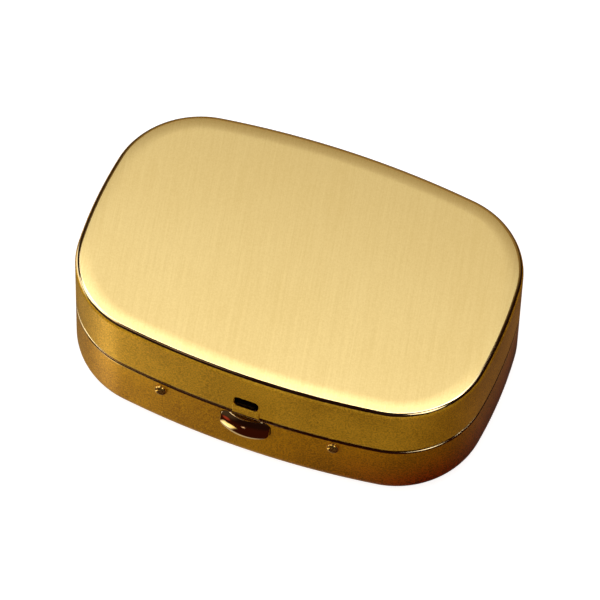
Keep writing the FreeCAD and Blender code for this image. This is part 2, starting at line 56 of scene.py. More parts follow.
# ---- Dimensions of the box, in millimetres, the same as the CAD's -------------------------
LID_LOW, LID_HIGH = (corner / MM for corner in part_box("lid_shell"))
BASE_LOW, BASE_HIGH = (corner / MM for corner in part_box("base_shell"))
HALF_LENGTH = BASE_HIGH.x
HALF_WIDTH = BASE_HIGH.y
HEIGHT = LID_HIGH.z
LID_RIM_Z = LID_LOW.z
BASE_RIM_Z = BASE_HIGH.z
SEAM_Z = (LID_RIM_Z + BASE_RIM_Z) / 2
SIDE_BOW_RADIUS = 107.0
END_BOW_RADIUS = 58.0
CORNER_RADIUS = 10.7
SHEET = 0.6
LID_EDGE_RADIUS = 0.65
EDGE_STEPS = 18
LINE_END = 138.0            # the edge's polished line ends at this normal, in degrees
SHOULDER_SLOPE = math.radians(7.0)
SHOULDER_WIDTH = 2.2
INNER_RADIUS = 0.5
LIP_ROUND = 0.2
BASE_EDGE_RADIUS = 2.4

# ---- Mesh helpers -------------------------------------------------------------------------
def outline(step):
    """The box's outline, anticlockwise, as columns (centre x, centre y, radius, angle)."""
    side = np.array([0.0, HALF_WIDTH - SIDE_BOW_RADIUS])
    end = np.array([HALF_LENGTH - END_BOW_RADIUS, 0.0])
    to_side = SIDE_BOW_RADIUS - CORNER_RADIUS
    to_end = END_BOW_RADIUS - CORNER_RADIUS
    span = np.linalg.norm(end - side)
    along = (to_side ** 2 - to_end ** 2 + span ** 2) / (2 * span)
    across = math.sqrt(to_side ** 2 - along ** 2)
    forward = (end - side) / span
    corner = side + forward * along + np.array([forward[1], -forward[0]]) * across
    low = math.atan2(corner[1] - end[1], corner[0] - end[0])
    high = math.atan2(corner[1] - side[1], corner[0] - side[0])
    columns = []
    for quarter in range(4):
        flip_x = -1 if quarter in (1, 2) else 1
        flip_y = -1 if quarter in (2, 3) else 1
        turned = quarter % 2 == 1
        start = math.pi / 2 * quarter + (math.pi / 2 - high if turned else low)
        stop = math.pi / 2 * quarter + (math.pi / 2 - low if turned else high)
        arcs = [(corner[0] * flip_x, corner[1] * flip_y, CORNER_RADIUS, start, stop)]
        middle = math.pi / 2 * (quarter + 1)
        if turned:
            arcs.append((end[0] * flip_x, 0.0, END_BOW_RADIUS, middle - low, middle + low))
        else:
            half = math.pi / 2 - high
            arcs.append((0.0, side[1] * flip_y, SIDE_BOW_RADIUS, middle - half, middle + half))
        for cx, cy, radius, first, last in arcs:
            count = max(4, math.ceil(radius * (last - first) / step))
            for k in range(count):
                columns.append((cx, cy, radius, first + (last - first) * k / count))
    return np.array(columns)


def arc(centre, radius, start, stop, count):
    """Points of a profile's arc. Angles are those of its outward normal, in degrees."""
    points = []
    for k in range(count + 1):
        a = math.radians(start + (stop - start) * k / count)
        points.append((centre[0] + radius * math.cos(a), centre[1] + radius * math.sin(a)))
    return points


def make_mesh(name, points, faces, finishes=None, materials=()):
    """A smooth-shaded mesh object from points in millimetres."""
    mesh = bpy.data.meshes.new(name)
    mesh.from_pydata([tuple(c * MM for c in p) for p in points], [], faces)
    for finish in materials:
        mesh.materials.append(finish)
    if finishes is not None:
        mesh.polygons.foreach_set("material_index", finishes)
    fix = bmesh.new()
    fix.from_mesh(mesh)
    bmesh.ops.recalc_face_normals(fix, faces=fix.faces)
    fix.to_mesh(mesh)
    fix.free()
    mesh.shade_smooth()
    obj = bpy.data.objects.new(name, mesh)
    scene.collection.objects.link(obj)
    return obj


def sharpen(obj, degrees):
    obj.data.shade_smooth()
    obj.data.set_sharp_from_angle(angle=math.radians(degrees))


def sweep(name, rows, columns, materials):
    """A closed shell: rows are (inset, z, finish), lofted round the outline, with flat ends."""
    count = len(columns)
    points, faces, finishes = [], [], []
    for inset, z, _ in rows:
        reach = columns[:, 2] - inset
        xs = columns[:, 0] + reach * np.cos(columns[:, 3])
        ys = columns[:, 1] + reach * np.sin(columns[:, 3])
        points.extend(zip(xs, ys, [z] * count))
    for r in range(len(rows) - 1):
        for c in range(count):
            d = (c + 1) % count
            faces.append((r * count + c, r * count + d, (r + 1) * count + d, (r + 1) * count + c))
            finishes.append(rows[r][2])
    faces.append(tuple(range(count)))
    finishes.append(rows[0][2])
    last = (len(rows) - 1) * count
    faces.append(tuple(range(last, last + count)))
    finishes.append(rows[-1][2])
    return make_mesh(name, points, faces, finishes, materials)


def prism_rings(name, rings, materials=()):
    """A solid through rings of equal length, each a list of points."""
    count = len(rings[0])
    points = [p for ring in rings for p in ring]
    faces = [tuple(range(count)), tuple(range(len(points) - count, len(points)))]
    for r in range(len(rings) - 1):
        for c in range(count):
            d = (c + 1) % count
            faces.append((r * count + c, r * count + d, (r + 1) * count + d, (r + 1) * count + c))
    return make_mesh(name, points, faces, None, materials)


def cut(obj, cutter, keep_finish):
    """Cuts cutter out of obj. The new faces take the finish of that index."""
    for finish in obj.data.materials:
        cutter.data.materials.append(finish)
    cutter.data.polygons.foreach_set("material_index", [keep_finish] * len(cutter.data.polygons))
    step = obj.modifiers.new("cut", "BOOLEAN")
    step.operation = "DIFFERENCE"
    step.solver = "EXACT"
    step.object = cutter
    graph = bpy.context.evaluated_depsgraph_get()
    made = bpy.data.meshes.new_from_object(obj.evaluated_get(graph))
    obj.modifiers.clear()
    obj.data = made
    bpy.data.objects.remove(cutter)


# ---- Node helpers -------------------------------------------------------------------------
class Nodes:
    """Short calls that add shader nodes to one tree."""

    def __init__(self, tree):
        self.tree = tree
        tree.nodes.clear()

    def put(self, socket, value):
        if isinstance(value, bpy.types.NodeSocket):
            self.tree.links.new(value, socket)
        elif value is not None:
            socket.default_value = value

    def add(self, kind, inputs=None, **settings):
        made = self.tree.nodes.new("ShaderNode" + kind)
        for key, value in settings.items():
            setattr(made, key, value)
        for key, value in (inputs or {}).items():
            self.put(made.inputs[key], value)
        return made

    def math(self, operation, a, b=0.0, clamp=False):
        return self.add("Math", {0: a, 1: b}, operation=operation, use_clamp=clamp).outputs[0]

    def scaled(self, vector, factors):
        return self.add("VectorMath", {0: vector, 1: factors}, operation="MULTIPLY").outputs[0]

    def turned(self, vector, degrees):
        """The vector turned about Z."""
        made = self.add("VectorRotate", {"Vector": vector, "Angle": math.radians(degrees)})
        made.rotation_type = "Z_AXIS"
        return made.outputs[0]

    def noise(self, vector, scale, detail=2.0, rough=0.5):
        made = self.add("TexNoise", {"Vector": vector, "Scale": scale, "Detail": detail,
                                     "Roughness": rough})
        return made.outputs[0]

    def spread(self, value, low, high, start=0.0, stop=1.0):
        """Maps value from start..stop to low..high."""
        made = self.add("MapRange", {"Value": value, "From Min": start, "From Max": stop,
                                     "To Min": low, "To Max": high})
        return made.outputs[0]

    def mix(self, factor, a, b):
        made = self.add("Mix", data_type="RGBA")
        self.put(made.inputs[0], factor)
        self.put(made.inputs[6], a)
        self.put(made.inputs[7], b)
        return made.outputs[2]

    def bump(self, height, strength, distance, normal=None):
        made = self.add("Bump", {"Height": height, "Strength": strength, "Distance": distance})
        if normal is not None:
            self.put(made.inputs["Normal"], normal)
        return made.outputs[0]


def new_material(name):
    material = bpy.data.materials.new(name)
    material.use_nodes = True
    return material, Nodes(material.node_tree)


def finish_surface(n, **inputs):
    shader = n.add("BsdfPrincipled")
    for key, value in inputs.items():
        n.put(shader.inputs[key.replace("_", " ")], value)
    out = n.add("OutputMaterial")
    n.put(out.inputs["Surface"], shader.outputs[0])


def rgb(r, g, b):
    """A colour with full alpha."""
    return (r, g, b, 1.0)


# ---- Finishes -----------------------------------------------------------------------------
# Noise scales are in cycles a metre, so 5200 gives a grain of about 0.2 mm, and the distances
# of the bumps are in metres.
SHADE_PAINT_X = (-0.001, 0.0205)  # painted shade: the base's darker, redder tone towards the lower right comes in between these places, in metres
SHADE_PAINT_Z = (0.002, 0.0095)   # and goes out between these heights
SHADE_PAINT_DARK = 0.1            # the share of its brightness that the darkest grains keep


def brushed_gilt(name, pale, deep, rough, brush_degrees, streak):
    """Satin gilt with fine parallel brush lines. brush_degrees turns them from the Y axis."""
    material, n = new_material(name)
    where = n.add("TexCoord").outputs["Object"]
    lines = n.scaled(n.turned(where, -brush_degrees), (9000.0, 160.0, 9000.0))
    fine = n.noise(lines, 1.0, 2.0, 0.6)
    coarse = n.noise(n.scaled(lines, (0.25, 0.4, 0.25)), 1.0, 2.0, 0.5)
    grain = n.noise(where, 4800.0, 2.0, 0.6)
    cloud = n.noise(where, 70.0, 3.0, 0.5)
    mixed = n.math("ADD", n.math("MULTIPLY", fine, 0.6), n.math("MULTIPLY", coarse, 0.4))
    grainy = n.math("ADD", n.math("MULTIPLY", mixed, 0.45), n.math("MULTIPLY", grain, 0.35))
    tone = n.math("ADD", grainy, n.math("MULTIPLY", cloud, 0.2))
    colour = n.mix(n.spread(tone, 0.0, 1.0, 0.4, 0.6), deep, pale)
    roughness = n.spread(tone, rough + 0.035, rough - 0.035, 0.3, 0.7)
    normal = n.bump(mixed, streak, 0.000004)
    normal = n.bump(grain, streak * 0.6, 0.000004, normal)
    axis = Vector((0.0, 1.0, 0.0))
    axis.rotate(Matrix.Rotation(math.radians(brush_degrees), 3, "Z"))
    along = n.add("VectorTransform", {"Vector": axis}, vector_type="VECTOR",
                  convert_from="OBJECT", convert_to="WORLD").outputs[0]
    finish_surface(n, Base_Color=colour, Metallic=1.0, Roughness=roughness, Normal=normal,
                   Anisotropic=0.35, Tangent=along)
    return material


def satin_gilt(name, pale, deep, rough, grain_strength, metal=1.0, painted_shade=None):
    """Satin gilt with a fine, even grain. Below 1, metal lets a matt share of the light through.
    The last argument, if given, is the colour of a painted shade that comes in darker and redder low
    down towards the right-hand end, where shade falls."""
    material, n = new_material(name)
    where = n.add("TexCoord").outputs["Object"]
    grain = n.noise(where, 5200.0, 3.0, 0.7)
    speck = n.noise(where, 2600.0, 2.0, 0.6)
    cloud = n.noise(where, 90.0, 3.0, 0.55)
    tone = n.math("ADD", n.math("MULTIPLY", grain, 0.7), n.math("MULTIPLY", cloud, 0.3))
    colour = n.mix(n.spread(tone, 0.0, 1.0, 0.39, 0.61), deep, pale)
    # Painted shade: the colour turns darker and redder low down towards the right-hand end of the base,
    # where shade falls.
    if painted_shade is not None:
        place = n.add("SeparateXYZ", {0: where}).outputs
        right = n.spread(place[0], 0.0, 1.0, *SHADE_PAINT_X)
        low = n.spread(place[2], 1.0, 0.3, *SHADE_PAINT_Z)
        patchy = n.spread(cloud, 0.85, 1.0, 0.3, 0.7)
        dark_red = rgb(*(c * SHADE_PAINT_DARK for c in painted_shade))
        red = n.mix(n.spread(tone, 0.0, 1.0, 0.45, 0.57), dark_red, rgb(*painted_shade))
        colour = n.mix(n.math("MULTIPLY", n.math("MULTIPLY", right, low), patchy), colour, red)
    roughness = n.spread(tone, rough + 0.05, rough - 0.05, 0.3, 0.7)
    normal = n.bump(grain, grain_strength, 0.00001)
    normal = n.bump(speck, grain_strength * 0.6, 0.00001, normal)
    finish_surface(n, Base_Color=colour, Metallic=metal, Roughness=roughness, Normal=normal)
    return material


def polished_gilt(name, pale, deep, rough):
    """Polished gilt with faint handling marks and hairlines."""
    material, n = new_material(name)
    where = n.add("TexCoord").outputs["Object"]
    cloud = n.noise(where, 400.0, 3.0, 0.55)
    hair = n.noise(n.scaled(n.turned(where, 35.0), (6000.0, 260.0, 6000.0)), 1.0, 2.0, 0.6)
    marks = n.spread(hair, 0.0, 1.0, 0.62, 0.7)
    colour = n.mix(n.spread(cloud, 0.0, 1.0, 0.35, 0.65), deep, pale)
    base = n.spread(cloud, rough * 0.75, rough * 1.4, 0.3, 0.7)
    roughness = n.math("ADD", base, n.math("MULTIPLY", marks, 0.05))
    normal = n.bump(cloud, 0.05, 0.00002)
    finish_surface(n, Base_Color=colour, Metallic=1.0, Roughness=roughness, Normal=normal)
    return material


def wire_steel(name, deep, pale):
    """Drawn spring steel with a fine, even grain."""
    material, n = new_material(name)
    where = n.add("TexCoord").outputs["Object"]
    fine = n.noise(where, 6000.0, 3.0, 0.6)
    cloud = n.noise(where, 500.0, 2.0, 0.5)
    colour = n.mix(n.spread(cloud, 0.0, 1.0, 0.3, 0.7), deep, pale)
    roughness = n.spread(fine, 0.2, 0.36, 0.3, 0.7)
    normal = n.bump(fine, 0.15, 0.00001)
    finish_surface(n, Base_Color=colour, Metallic=1.0, Roughness=roughness, Normal=normal)
    return material


def moulded_ivory(name):
    """Moulded ivory plastic with a faint orange-peel surface."""
    material, n = new_material(name)
    where = n.add("TexCoord").outputs["Object"]
    peel = n.noise(where, 1500.0, 3.0, 0.5)
    flow = n.noise(n.scaled(where, (1.0, 3.0, 1.0)), 60.0, 3.0, 0.5)
    colour = n.mix(n.spread(flow, 0.0, 1.0, 0.3, 0.7), rgb(0.74, 0.66, 0.5), rgb(0.82, 0.75, 0.6))
    roughness = n.spread(peel, 0.28, 0.4, 0.3, 0.7)
    normal = n.bump(peel, 0.12, 0.00003)
    finish_surface(n, Base_Color=colour, Roughness=roughness, Normal=normal, IOR=1.5,
                   Subsurface_Weight=0.15, Subsurface_Scale=0.001)
    return material


def silvered_glass(name):
    """A silvered mirror with a faint haze and dust."""
    material, n = new_material(name)
    where = n.add("TexCoord").outputs["Object"]
    haze = n.noise(where, 120.0, 3.0, 0.55)
    dust = n.spread(n.noise(where, 5200.0, 2.0, 0.5), 0.0, 1.0, 0.72, 0.8)
    colour = n.mix(dust, rgb(0.86, 0.88, 0.87), rgb(0.7, 0.7, 0.68))
    roughness = n.math("ADD", n.spread(haze, 0.01, 0.035, 0.35, 0.7), n.math("MULTIPLY", dust, 0.2))
    finish_surface(n, Base_Color=colour, Metallic=1.0, Roughness=roughness)
    return material


def dark_foam(name):
    """A dark closed-cell mounting pad."""
    material, n = new_material(name)
    where = n.add("TexCoord").outputs["Object"]
    cells = n.noise(where, 3000.0, 3.0, 0.6)
    colour = n.mix(n.spread(cells, 0.0, 1.0, 0.3, 0.7), rgb(0.02, 0.02, 0.02), rgb(0.06, 0.06, 0.06))
    normal = n.bump(cells, 0.6, 0.00005)
    finish_surface(n, Base_Color=colour, Roughness=0.9, Normal=normal)
    return material


TOP = brushed_gilt("gilt_brushed_top", rgb(0.97, 0.775, 0.355), rgb(0.88, 0.68, 0.285), 0.33, 12.0, 0.2)
WALL = satin_gilt("gilt_satin_lid", rgb(0.98, 0.57, 0.035), rgb(0.46, 0.235, 0.005), 0.4, 0.9, 0.6)
# The base's colours are deeper than the lid's, a painted shade for the dark floor close under it that it
# reflects. It also carries a painted shade that is darker and redder low down towards the right-hand
# end.
BASE_WALL = satin_gilt("gilt_satin_base", rgb(0.88, 0.46, 0.008), rgb(0.4, 0.16, 0.002), 0.4, 0.9,
                       0.6, (0.42, 0.02, 0.003))
RIVET = satin_gilt("gilt_satin_rivet", rgb(0.86, 0.55, 0.14), rgb(0.7, 0.4, 0.06), 0.1, 0.1, 0.94)
EDGE = polished_gilt("gilt_polished_edge", rgb(0.93, 0.73, 0.4), rgb(0.88, 0.66, 0.33), 0.09)
POLISHED = polished_gilt("gilt_polished", rgb(0.92, 0.7, 0.37), rgb(0.86, 0.6, 0.28), 0.08)
INSIDE = satin_gilt("gilt_inside", rgb(0.88, 0.66, 0.3), rgb(0.8, 0.57, 0.22), 0.3, 0.2)
STEEL = wire_steel("spring_steel_drawn", rgb(0.36, 0.36, 0.37), rgb(0.6, 0.6, 0.6))
# Painted shade: the catch plate is made near black so that the slot in the lid reads as deep shade.
SLOT_SHADE_STEEL = wire_steel("catch_steel_slot_shade", rgb(0.03, 0.026, 0.022), rgb(0.09, 0.075, 0.06))
IVORY = moulded_ivory("ivory_moulded")
MIRROR = silvered_glass("mirror_silvered")
FOAM = dark_foam("mounting_foam")
LID_FINISHES = (TOP, EDGE, WALL, INSIDE)
BASE_FINISHES = (TOP, EDGE, BASE_WALL, INSIDE)
F_TOP, F_EDGE, F_WALL, F_INSIDE = range(4)


# ---- Shells -------------------------------------------------------------------------------
COLUMN_STEP = 0.35
HOLD = 0.03                 # rows this close to a bend keep the flat faces' shading flat
CAP_RING = 1.0              # flat ends are closed from this far inside their last bend
WALL_ROWS = 6


def straight(inset, z0, z1, finish):
    """Rows of a vertical wall between two heights, held close to both ends."""
    way = 1 if z1 > z0 else -1
    heights = [z0, z0 + way * HOLD]
    heights += [z0 + (z1 - z0) * k / WALL_ROWS for k in range(1, WALL_ROWS)]
    heights += [z1 - way * HOLD]
    return [(inset, z, finish) for z in heights]


def with_finish(points, finish):
    """Rows of a sweep from a profile's points."""
    return [(inset, z, finish) for inset, z in points]


def lid_rows():
    """The lid's section: the top, its shoulder, the edge, the wall, the lip and the inside."""
    run = SHOULDER_WIDTH - LID_EDGE_RADIUS
    shoulder_radius = LID_EDGE_RADIUS + run / math.sin(SHOULDER_SLOPE)
    fall = (shoulder_radius - LID_EDGE_RADIUS) * (1 - math.cos(SHOULDER_SLOPE))
    edge_z = HEIGHT - LID_EDGE_RADIUS - fall
    slope = math.degrees(SHOULDER_SLOPE)
    lip_z = LID_RIM_Z + LIP_ROUND
    ceiling = HEIGHT - SHEET
    inner = SHEET + INNER_RADIUS
    rows = [(SHOULDER_WIDTH + CAP_RING, HEIGHT, F_TOP), (SHOULDER_WIDTH + HOLD, HEIGHT, F_TOP)]
    shoulder = arc((SHOULDER_WIDTH, HEIGHT - shoulder_radius), shoulder_radius, 90, 90 + slope, 12)
    rows += with_finish(shoulder[:-1], F_TOP)
    edge = arc((LID_EDGE_RADIUS, edge_z), LID_EDGE_RADIUS, 90 + slope, 180, EDGE_STEPS)
    turn = (90 - slope) / EDGE_STEPS
    rows += [(*p, F_EDGE if 90 + slope + k * turn < LINE_END else F_WALL)
             for k, p in enumerate(edge[:-1])]
    rows += straight(0.0, edge_z, lip_z, F_WALL)
    rows += with_finish(arc((LIP_ROUND, lip_z), LIP_ROUND, 180, 270, 6), F_EDGE)
    rows += [(SHEET - HOLD, LID_RIM_Z, F_INSIDE)]
    rows += straight(SHEET, LID_RIM_Z + HOLD, ceiling - INNER_RADIUS, F_INSIDE)
    rows += with_finish(arc((inner, ceiling - INNER_RADIUS), INNER_RADIUS, 180, 90, 6), F_INSIDE)
    rows += [(inner + HOLD, ceiling, F_INSIDE), (inner + CAP_RING, ceiling, F_INSIDE)]
    return rows


def base_rows():
    """The base's section: the bottom, its rounded edge, the wall, the lip and the inside."""
    lip_z = BASE_RIM_Z - LIP_ROUND
    inner_radius = BASE_EDGE_RADIUS - SHEET
    centre = (BASE_EDGE_RADIUS, BASE_EDGE_RADIUS)
    rows = [(BASE_EDGE_RADIUS + CAP_RING, 0.0, F_WALL), (BASE_EDGE_RADIUS + HOLD, 0.0, F_WALL)]
    rows += with_finish(arc(centre, BASE_EDGE_RADIUS, 270, 180, 24)[:-1], F_WALL)
    rows += straight(0.0, BASE_EDGE_RADIUS, lip_z, F_WALL)
    rows += with_finish(arc((LIP_ROUND, lip_z), LIP_ROUND, 180, 90, 6), F_EDGE)
    rows += [(SHEET - HOLD, BASE_RIM_Z, F_INSIDE)]
    rows += straight(SHEET, BASE_RIM_Z - HOLD, BASE_EDGE_RADIUS, F_INSIDE)
    rows += with_finish(arc(centre, inner_radius, 180, 270, 10), F_INSIDE)
    rows += [(BASE_EDGE_RADIUS + HOLD, SHEET, F_INSIDE)]
    rows += [(BASE_EDGE_RADIUS + CAP_RING, SHEET, F_INSIDE)]
    return rows


def rounded_rectangle(x0, x1, z0, z1, radius, grow):
    """Points (x, z) of a rounded rectangle drawn out by grow, anticlockwise."""
    points = []
    for cx, cz, start in ((x1, z1, 0), (x0, z1, 90), (x0, z0, 180), (x1, z0, 270)):
        mx = cx - radius if cx == x1 else cx + radius
        mz = cz - radius if cz == z1 else cz + radius
        for k in range(9):
            a = math.radians(start + 90 * k / 8)
            points.append((mx + (radius + grow) * math.cos(a), mz + (radius + grow) * math.sin(a)))
    return points


SLOT = (-1.45, 1.45, SEAM_Z + 1.5, SEAM_Z + 3.2)
SLOT_CORNER = 0.6
FLARE = 0.09                # the edges of the slot and the window are broken by this much
CUT_FROM = 2.0              # the cutters start this far in front of the wall
CUT_PAST = 0.6              # and end this far behind it


def slot_cutter():
    front = -HALF_WIDTH
    rings = []
    for y, grow in ((front - CUT_FROM, FLARE * 2), (front - FLARE, FLARE * 2),
                    (front + FLARE, 0.0), (front + SHEET + CUT_PAST, 0.0)):
        ring = rounded_rectangle(*SLOT, SLOT_CORNER, grow)
        rings.append([(x, y, z) for x, z in ring])
    return prism_rings("slot_cutter", rings)


BUTTON_HALF = 3.0
BUTTON_TOP_Z = SEAM_Z - 0.5
BUTTON_WAIST_Z = SEAM_Z - 2.0
BUTTON_BOTTOM_Z = SEAM_Z - 4.0
BUTTON_CORNER = 0.8
BOTTOM_STEPS = 64
TOP_CORNER_STEPS = 12
TOP_STEPS = 20
WINDOW_CLEARANCE = 0.1


def button_outline(grow):
    """The thumb button's points (x, z) and normals: flat on top, half an ellipse below."""
    half = BUTTON_HALF + grow
    depth = BUTTON_WAIST_Z - BUTTON_BOTTOM_Z + grow
    top = BUTTON_TOP_Z + grow
    corner = BUTTON_CORNER + grow
    points = []
    for k in range(BOTTOM_STEPS + 1):
        a = math.pi + math.pi * k / BOTTOM_STEPS
        normal = Vector((math.cos(a) / half, math.sin(a) / depth)).normalized()
        points.append((half * math.cos(a), BUTTON_WAIST_Z + depth * math.sin(a), *normal))
    for cx, start in ((half - corner, 0), (corner - half, 90)):
        for k in range(TOP_CORNER_STEPS + 1):
            a = math.radians(start + 90 * k / TOP_CORNER_STEPS)
            points.append((cx + corner * math.cos(a), top - corner + corner * math.sin(a),
                           math.cos(a), math.sin(a)))
        if start == 0:
            flat = half - corner
            for k in range(1, TOP_STEPS):
                points.append((flat - 2 * flat * k / TOP_STEPS, top, 0.0, 1.0))
    return points


def window_cutter():
    front = -HALF_WIDTH
    rings = []
    for y, grow in ((front - CUT_FROM, FLARE), (front - FLARE, FLARE), (front + FLARE / 2, 0.0),
                    (front + SHEET + CUT_PAST, 0.0)):
        rings.append([(p[0], y, p[1]) for p in button_outline(WINDOW_CLEARANCE + grow)])
    return prism_rings("window_cutter", rings)


HINGE_GAP_HALF = 9.6
HINGE_GAP_RISE = 1.35       # the gap reaches this far above and below the seam
HINGE_GAP_FRONT = 15.1
HINGE_GAP_BACK = 25.0


def hinge_cutter():
    """The gap in both back walls that the hinge sits in."""
    low, high = SEAM_Z - HINGE_GAP_RISE, SEAM_Z + HINGE_GAP_RISE
    left, right = -HINGE_GAP_HALF, HINGE_GAP_HALF
    corners = ((left, low), (right, low), (right, high), (left, high))
    rings = [[(x, y, z) for x, z in corners] for y in (HINGE_GAP_FRONT, HINGE_GAP_BACK)]
    return prism_rings("hinge_cutter", rings)


SHELL_SHARP = 32            # faces that meet at more than this many degrees keep a sharp edge
PIECE_SHARP = 40
WIRE_SHARP = 50


def build_shells():
    columns = outline(COLUMN_STEP)
    lid = sweep("lid_shell_gilt", lid_rows(), columns, LID_FINISHES)
    cut(lid, slot_cutter(), F_EDGE)
    cut(lid, hinge_cutter(), F_INSIDE)
    sharpen(lid, SHELL_SHARP)
    base = sweep("base_shell_gilt", base_rows(), columns, BASE_FINISHES)
    cut(base, window_cutter(), F_EDGE)
    cut(base, hinge_cutter(), F_INSIDE)
    sharpen(base, SHELL_SHARP)
    for piece, body, node in ((lid, "lid", "lid_shell"), (base, "base", "base_shell")):
        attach(piece, body)
        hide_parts(node)


build_shells()

# ---- The strip under the slot -------------------------------------------------------------
KEEPER_HALF = 1.65
KEEPER_PROUD = 0.14
KEEPER_ROUND = 0.1
KEEPER_END_ROUND = 0.12
KEEPER_ROOT = 0.3           # its ends run this far into the wall
KEEPER_STEPS = 24


def keeper_section():
    """Points (depth, z) up the strip's rounded front."""
    section = []
    for z, side in ((LID_RIM_Z, -1), (SLOT[2], 1)):
        for k in range(9):
            a = math.radians(90 * k / 8 if side < 0 else 90 - 90 * k / 8)
            depth = KEEPER_ROUND * (1 - math.sin(a))
            section.append((depth, z - side * KEEPER_ROUND * (1 - math.cos(a))))
    return section


def keeper_plan():
    """Points (x, y) along the strip, from its right-hand end to its left-hand end."""
    front = -HALF_WIDTH - KEEPER_PROUD
    flat = KEEPER_HALF - KEEPER_END_ROUND
    end = [(KEEPER_HALF, -HALF_WIDTH + KEEPER_ROOT)]
    for k in range(11):
        a = math.radians(90 * k / 10)
        end.append((flat + KEEPER_END_ROUND * math.cos(a), front + KEEPER_END_ROUND * (1 - math.sin(a))))
    middle = [(flat - 2 * flat * k / KEEPER_STEPS, front) for k in range(1, KEEPER_STEPS)]
    return end + middle + [(-x, y) for x, y in reversed(end)]


def keeper():
    """The rounded strip of lid wall under the slot."""
    section = keeper_section()
    plan = keeper_plan()
    rings = []
    for index, (x, y) in enumerate(plan):
        before = Vector(plan[max(index - 1, 0)])
        after = Vector(plan[min(index + 1, len(plan) - 1)])
        way = (after - before).normalized()
        rings.append([(x + way.y * depth, y - way.x * depth, z) for depth, z in section])
    piece = prism_rings("lid_slot_keeper", rings, (WALL,))
    sharpen(piece, PIECE_SHARP)
    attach(piece, "lid")


keeper()

# ---- The thumb button ---------------------------------------------------------------------
CROWN_Z = SEAM_Z - 2.2
CROWN_LONG_RADIUS = 6.5
CROWN_SHORT_RADIUS = 2.3
CROWN_EDGE_ROUND = 0.3
CROWN_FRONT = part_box("catch_button")[0].y / MM
BUTTON_BACK = -HALF_WIDTH + SHEET + 0.1
SLOPE_FROM = 0.2            # the crown's slope at the edge is taken this far in from the outline
SLOPE_STEP = 0.01


def crown_y(x, z):
    """The crown's surface, curved on a long radius across and a short one up and down."""
    fall = CROWN_LONG_RADIUS - math.sqrt(CROWN_LONG_RADIUS ** 2 - x * x)
    reach = CROWN_SHORT_RADIUS - fall
    return CROWN_FRONT + CROWN_SHORT_RADIUS - math.sqrt(reach ** 2 - (z - CROWN_Z) ** 2)


def thumb_button():
    """A D-shaped prism with a rounded edge and a domed front."""
    plan = button_outline(0.0)
    rings = [[(x, BUTTON_BACK, z) for x, z, _, _ in plan]]
    edges = []
    for x, z, nx, nz in plan:
        inner = crown_y(x - nx * SLOPE_FROM, z - nz * SLOPE_FROM)
        nearer = SLOPE_FROM - SLOPE_STEP
        slope = (crown_y(x - nx * nearer, z - nz * nearer) - inner) / SLOPE_STEP
        lean = math.atan(slope)
        reach = CROWN_EDGE_ROUND * (1 - math.sin(lean))
        meet = crown_y(x - nx * reach, z - nz * reach)
        edges.append((lean, meet + CROWN_EDGE_ROUND * math.cos(lean), reach))
    for k in range(1, 4):
        rings.append([(p[0], BUTTON_BACK + (e[1] - BUTTON_BACK) * k / 4, p[1])
                      for p, e in zip(plan, edges)])
    for k in range(11):
        ring = []
        for (x, z, nx, nz), (lean, start, _) in zip(plan, edges):
            a = (math.pi / 2 - lean) * k / 10
            depth = CROWN_EDGE_ROUND * (1 - math.cos(a))
            ring.append((x - nx * depth, start - CROWN_EDGE_ROUND * math.sin(a), z - nz * depth))
        rings.append(ring)
    for k in range(1, 24):
        share = 1 - k / 24
        ring = []
        for (x, z, nx, nz), (_, _, reach) in zip(plan, edges):
            px = (x - nx * reach) * share
            pz = CROWN_Z + (z - nz * reach - CROWN_Z) * share
            ring.append((px, crown_y(px, pz), pz))
        rings.append(ring)
    piece = prism_rings("thumb_button_crown", rings, (POLISHED,))
    sharpen(piece, PIECE_SHARP)
    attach(piece, "catch")
    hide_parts("catch_button")


thumb_button()

# ---- The catch's rivets and springs -------------------------------------------------------
RIVET_X = 10.5
RIVET_Z = SEAM_Z - 1.3
RIVET_HEAD = 0.75
RIVET_PROUD = 0.6
RIVET_ROUND = 0.45
RIVET_SHANK = 0.4
RIVET_TAIL = 0.6
RIVET_SEAT = 0.06           # the head's back is sunk this far into the wall
STEM_Z = SEAM_Z - 1.9
STEM_RADIUS = 0.55
STEM_TAIL = 0.9
STRIP_FRONT = -HALF_WIDTH + 1.3
STRIP_BACK = STRIP_FRONT + 0.25
TAIL_END = STRIP_BACK + 0.3
TAIL_ROUND = 0.24
POLE = 0.02                 # the radius at which a turned part's ends are closed
LATHE_STEPS = 48


def lathe(name, profile, x, z, material):
    """A solid of revolution about an axis along Y through (x, z). The profile is (radius, y)."""
    angles = [2 * math.pi * k / LATHE_STEPS for k in range(LATHE_STEPS)]
    rings = []
    for radius, y in profile:
        rings.append([(x + radius * math.cos(a), y, z + radius * math.sin(a)) for a in angles])
    piece = prism_rings(name, rings, (material,))
    sharpen(piece, PIECE_SHARP)
    return piece


def bent(centre, radius, start, stop, count):
    """An arc of a lathe profile, from an angle off the axis to another, in degrees."""
    points = []
    for k in range(count + 1):
        a = math.radians(start + (stop - start) * k / count)
        points.append((centre[0] + radius * math.sin(a), centre[1] - radius * math.cos(a)))
    return points


def tail_profile(radius):
    """A hammered-over end behind the spring strip."""
    turn = bent((radius - TAIL_ROUND, TAIL_END - TAIL_ROUND), TAIL_ROUND, 90, 180, 8)
    return [(radius, STRIP_BACK)] + turn + [(radius * 0.3, TAIL_END), (POLE, TAIL_END)]


